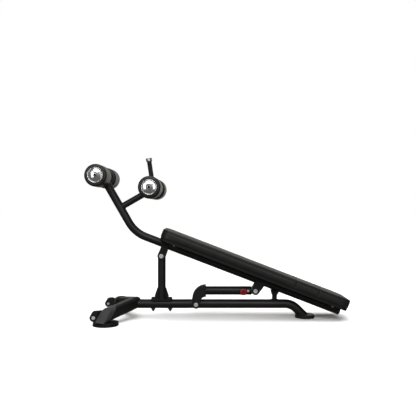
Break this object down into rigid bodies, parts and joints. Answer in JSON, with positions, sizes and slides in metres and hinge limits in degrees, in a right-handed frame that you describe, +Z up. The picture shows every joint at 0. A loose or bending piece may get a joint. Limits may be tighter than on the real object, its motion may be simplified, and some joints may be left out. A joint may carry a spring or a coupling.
{
  "type": "adjustable weight bench",
  "caption": "Adjustable decline bench: swept floor base, tilting padded rail on a pull-pin telescopic strut, foam leg rollers and a grab handle.",
  "frame": {"origin": "centre of the footprint on the floor", "axes": "+Z up, +X along the bench towards the low end of the pad, +Y across it"},
  "size_m": [1.539, 0.626, 0.9655],
  "materials": {
    "frame_paint": "satin black powder coat, fine orange peel",
    "vinyl": "black upholstery vinyl, fine grain",
    "foam": "black moulded foam skin",
    "rubber": "matte rubber",
    "grip_rubber": "matte grip rubber",
    "plastic": "moulded plastic",
    "wheel": "moulded wheel",
    "zinc_steel": "bright zinc plate",
    "chrome": "polished chrome",
    "aluminium": "grey anodised",
    "bronze": "sintered bronze",
    "board": "birch plywood, black stain",
    "red_knob": "red moulded plastic"
  },
  "bodies": {
    "base": {"main_beam": "frame_paint", "front_crossbar": "frame_paint", "crossbar_end_covers": "plastic", "rear_foot_plate": "frame_paint", "rear_foot_pad": "rubber", "front_foot_plates": "frame_paint", "front_foot_pads": "rubber", "wheel_forks": "frame_paint", "wheel_axles": "zinc_steel", "column": "frame_paint", "column_flange": "frame_paint", "column_gussets": "frame_paint", "flange_bolts": "zinc_steel", "pivot_bushes": "bronze", "stop_post": "frame_paint", "stop_bumper": "rubber", "strut_pivot_bolt": "zinc_steel", "strut_pivot_sleeve": "zinc_steel"},
    "rail_frame": {"rail_tube": "frame_paint", "tube_end_plugs": "plastic", "branch_tube": "frame_paint", "branch_hub": "frame_paint", "tilt_lugs": "frame_paint", "strut_lugs": "frame_paint", "tilt_pivot_bolt": "zinc_steel", "strut_top_bolt": "zinc_steel", "foot_roller_axle": "zinc_steel", "knee_roller_axle": "zinc_steel", "roller_collars": "frame_paint", "roller_caps": "chrome", "handle_post": "frame_paint", "handle_grip": "grip_rubber", "handle_cap": "aluminium", "pad_board": "board", "pad_cushion": "vinyl", "pad_brackets": "frame_paint", "pad_bracket_bolts": "zinc_steel", "pad_screws": "zinc_steel"},
    "strut_outer": {"strut_elbow": "frame_paint", "strut_outer_tube": "frame_paint", "guide_bush": "plastic", "bush_screw": "zinc_steel", "pin_housing": "frame_paint", "pin_spring": "zinc_steel"},
    "strut_inner": {"strut_inner_tube": "zinc_steel", "strut_eye": "zinc_steel"},
    "pull_pin": {"adjust_pin": "zinc_steel", "knob": "red_knob", "knob_cap": "plastic"},
    "wheel_left": {"wheel_left": "wheel"},
    "wheel_right": {"wheel_right": "wheel"},
    "foot_roller_left": {"foot_roller_foam_left": "foam", "foot_roller_core_left": "plastic"},
    "foot_roller_right": {"foot_roller_foam_right": "foam", "foot_roller_core_right": "plastic"},
    "knee_roller_left": {"knee_roller_foam_left": "foam", "knee_roller_core_left": "plastic"},
    "knee_roller_right": {"knee_roller_foam_right": "foam", "knee_roller_core_right": "plastic"}
  },
  "joints": [
    {"name": "bench_tilt", "type": "hinge", "parent": "base", "child": "rail_frame", "pos_m": [-0.34815, 0, 0.373], "axis": [0, -1, 0], "range_deg": [0, 21]},
    {"name": "strut_swing", "type": "hinge", "parent": "base", "child": "strut_outer", "pos_m": [-0.14015, 0, 0.0815], "axis": [0, -1, 0], "range_deg": [0, 28.5]},
    {"name": "strut_slide", "type": "slide", "parent": "strut_outer", "child": "strut_inner", "axis": [1, 0, 0], "range_m": [0, 0.1295]},
    {"name": "pin_pull", "type": "slide", "parent": "strut_outer", "child": "pull_pin", "axis": [0, -1, 0], "range_m": [0, 0.009], "stiffness_N_per_m": 900, "springref_m": -0.004, "deforming": ["pin_spring"]},
    {"name": "wheel_left_spin", "type": "hinge", "parent": "base", "child": "wheel_left", "pos_m": [-0.71115, -0.244, 0.045], "axis": [0, 1, 0], "continuous": true},
    {"name": "wheel_right_spin", "type": "hinge", "parent": "base", "child": "wheel_right", "pos_m": [-0.71115, 0.244, 0.045], "axis": [0, 1, 0], "continuous": true},
    {"name": "foot_roller_left_spin", "type": "hinge", "parent": "rail_frame", "child": "foot_roller_left", "pos_m": [-0.70305, -0.164, 0.847], "axis": [0, 1, 0], "continuous": true},
    {"name": "foot_roller_right_spin", "type": "hinge", "parent": "rail_frame", "child": "foot_roller_right", "pos_m": [-0.70305, 0.164, 0.847], "axis": [0, 1, 0], "continuous": true},
    {"name": "knee_roller_left_spin", "type": "hinge", "parent": "rail_frame", "child": "knee_roller_left", "pos_m": [-0.39985, -0.164, 0.7791], "axis": [0, 1, 0], "continuous": true},
    {"name": "knee_roller_right_spin", "type": "hinge", "parent": "rail_frame", "child": "knee_roller_right", "pos_m": [-0.39985, 0.164, 0.7791], "axis": [0, 1, 0], "continuous": true}
  ],
  "couplings": [
    {"joint": "strut_swing", "follows": "bench_tilt", "ratio": 1.3475},
    {"joint": "strut_slide", "follows": "bench_tilt", "m_per_rad": 0.352}
  ]
}
